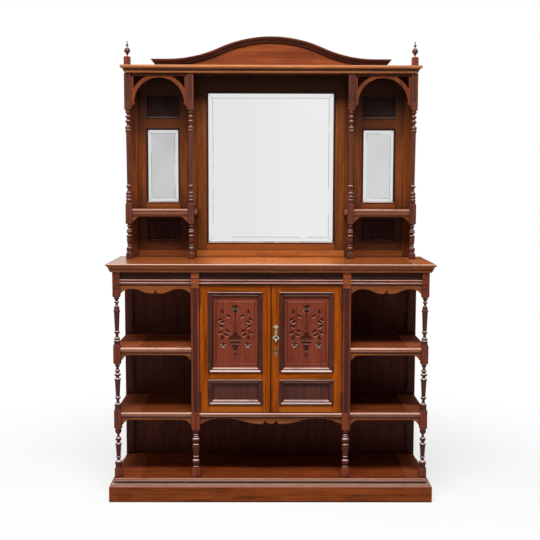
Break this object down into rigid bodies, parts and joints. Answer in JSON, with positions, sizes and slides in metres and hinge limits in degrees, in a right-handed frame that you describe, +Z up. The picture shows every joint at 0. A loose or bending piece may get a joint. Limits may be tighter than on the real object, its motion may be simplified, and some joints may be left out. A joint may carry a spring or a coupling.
{
  "type": "mirror-back chiffonier",
  "caption": "Victorian mirror-back chiffonier: turned posts, open shelves and a carved cupboard under a bevelled mirror gallery with arches, cornice and crest.",
  "frame": {"origin": "on the floor under the middle of the counter", "axes": "+Z up, front towards -Y, +X to the right as seen from the front"},
  "size_m": [1.37, 0.412, 1.976],
  "materials": {
    "case_wood": "polished red-brown walnut",
    "door_wood": "polished golden walnut",
    "panel_wood": "polished dark walnut",
    "moulding_wood": "polished dark walnut",
    "inner_wood": "dark stained wood",
    "handle_brass": "old brass",
    "hinge_brass": "worn brass",
    "mirror_glass": "bevelled silvered glass"
  },
  "bodies": {
    "carcase": {"arches": "case_wood", "back_posts": "case_wood", "base_board": "case_wood", "base_rails": "case_wood", "bracket_aprons": "case_wood", "bracket_shelves": "case_wood", "cornice": "case_wood", "counter_top": "case_wood", "crest_board": "case_wood", "crest_moulding": "case_wood", "cupboard_apron": "case_wood", "cupboard_cleats": "inner_wood", "cupboard_floor": "case_wood", "cupboard_post_left": "case_wood", "cupboard_post_right": "case_wood", "cupboard_shelf": "inner_wood", "cupboard_sides": "inner_wood", "finials": "case_wood", "frieze_aprons": "case_wood", "frieze_rails": "case_wood", "front_post_left": "case_wood", "front_post_right": "case_wood", "gallery_carved_panels": "panel_wood", "gallery_reeded_panels": "panel_wood", "gallery_slips": "moulding_wood", "hinge_post_leaves": "hinge_brass", "lower_back_boards": "inner_wood", "mirror_boards": "inner_wood", "mirror_centre": "mirror_glass", "mirror_frame": "case_wood", "plinth_front": "case_wood", "plinth_returns": "case_wood", "rear_posts": "inner_wood", "shelf_aprons": "case_wood", "side_frame_left": "case_wood", "side_frame_right": "case_wood", "side_mirrors": "mirror_glass", "side_shelves_left": "case_wood", "side_shelves_right": "case_wood", "upper_columns": "case_wood"},
    "left_door": {"left_door_stiles": "door_wood", "left_door_rails": "door_wood", "left_door_carved_panel": "panel_wood", "left_door_reeded_panel": "panel_wood", "left_door_mouldings": "moulding_wood", "left_door_hinge_leaves": "hinge_brass", "bolt_plate": "hinge_brass"},
    "right_door": {"right_door_stiles": "door_wood", "right_door_rails": "door_wood", "right_door_carved_panel": "panel_wood", "right_door_reeded_panel": "panel_wood", "right_door_mouldings": "moulding_wood", "right_door_hinge_leaves": "hinge_brass", "meeting_bead": "door_wood", "handle_backplate": "handle_brass", "key_escutcheon": "handle_brass", "door_lock": "hinge_brass"},
    "drop_handle": {"handle_drop": "handle_brass"},
    "lock_tongue": {"lock_bolt": "hinge_brass"},
    "left_door_bolt": {"door_bolt": "hinge_brass"}
  },
  "joints": [
    {"name": "left_door_hinge", "type": "hinge", "parent": "carcase", "child": "left_door", "pos_m": [-0.2987, -0.1863, 0.65], "axis": [0, 0, -1], "range_deg": [0, 120]},
    {"name": "right_door_hinge", "type": "hinge", "parent": "carcase", "child": "right_door", "pos_m": [0.2987, -0.1863, 0.65], "axis": [0, 0, 1], "range_deg": [0, 120]},
    {"name": "handle_swing", "type": "hinge", "parent": "right_door", "child": "drop_handle", "pos_m": [0.021, -0.188, 0.727], "axis": [-1, 0, 0], "range_deg": [0, 80]},
    {"name": "lock_throw", "type": "slide", "parent": "right_door", "child": "lock_tongue", "axis": [-1, 0, 0], "range_m": [0, 0.008]},
    {"name": "bolt_slide", "type": "slide", "parent": "left_door", "child": "left_door_bolt", "axis": [0, 0, 1], "range_m": [0, 0.016]}
  ]
}
